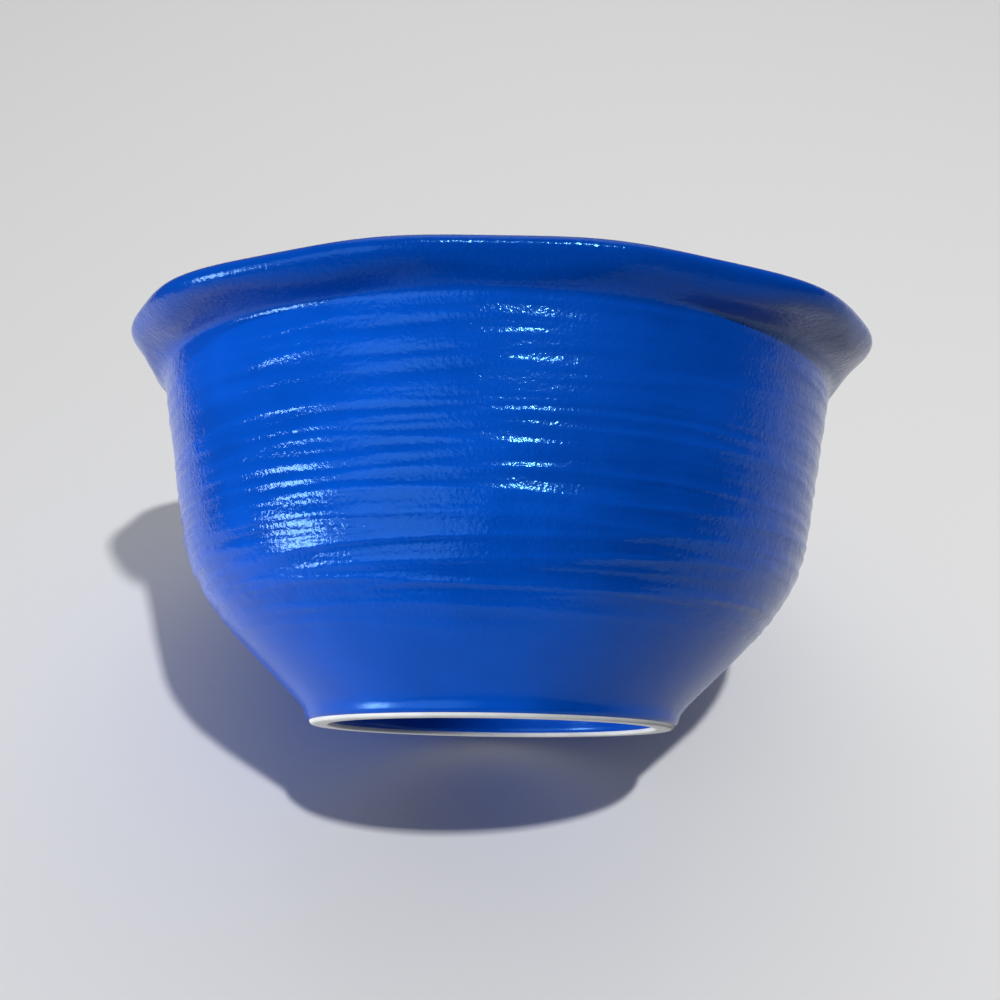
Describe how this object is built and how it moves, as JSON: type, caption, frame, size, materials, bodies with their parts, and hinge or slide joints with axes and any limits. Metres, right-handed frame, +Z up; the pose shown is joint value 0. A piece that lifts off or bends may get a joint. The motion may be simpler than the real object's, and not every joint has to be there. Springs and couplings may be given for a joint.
{
  "type": "stoneware bowl",
  "caption": "Deep wheel-thrown stoneware bowl with a flared, fluted rim, a rounded belly and a turned foot ring, glazed cobalt blue inside and out over bare clay at the foot.",
  "frame": {"origin": "centre of the foot ring's underside, on the surface that the bowl stands on", "axes": "+Z up along the bowl's axis, -Y towards the viewer of the picture, +X to the viewer's right"},
  "size_m": [0.172, 0.172, 0.0897],
  "materials": {
    "bare_stoneware": "bare fired stoneware, off-white and matt",
    "cobalt_glaze_outside": "glossy cobalt glaze over throwing rings",
    "cobalt_glaze_inside": "glossy cobalt glaze",
    "cobalt_glaze_foot": "glossy cobalt glaze"
  },
  "bodies": {
    "root": {"clay_body": "bare_stoneware", "outer_glaze": "cobalt_glaze_outside", "inner_glaze": "cobalt_glaze_inside", "foot_well_glaze": "cobalt_glaze_foot"}
  },
  "joints": []
}
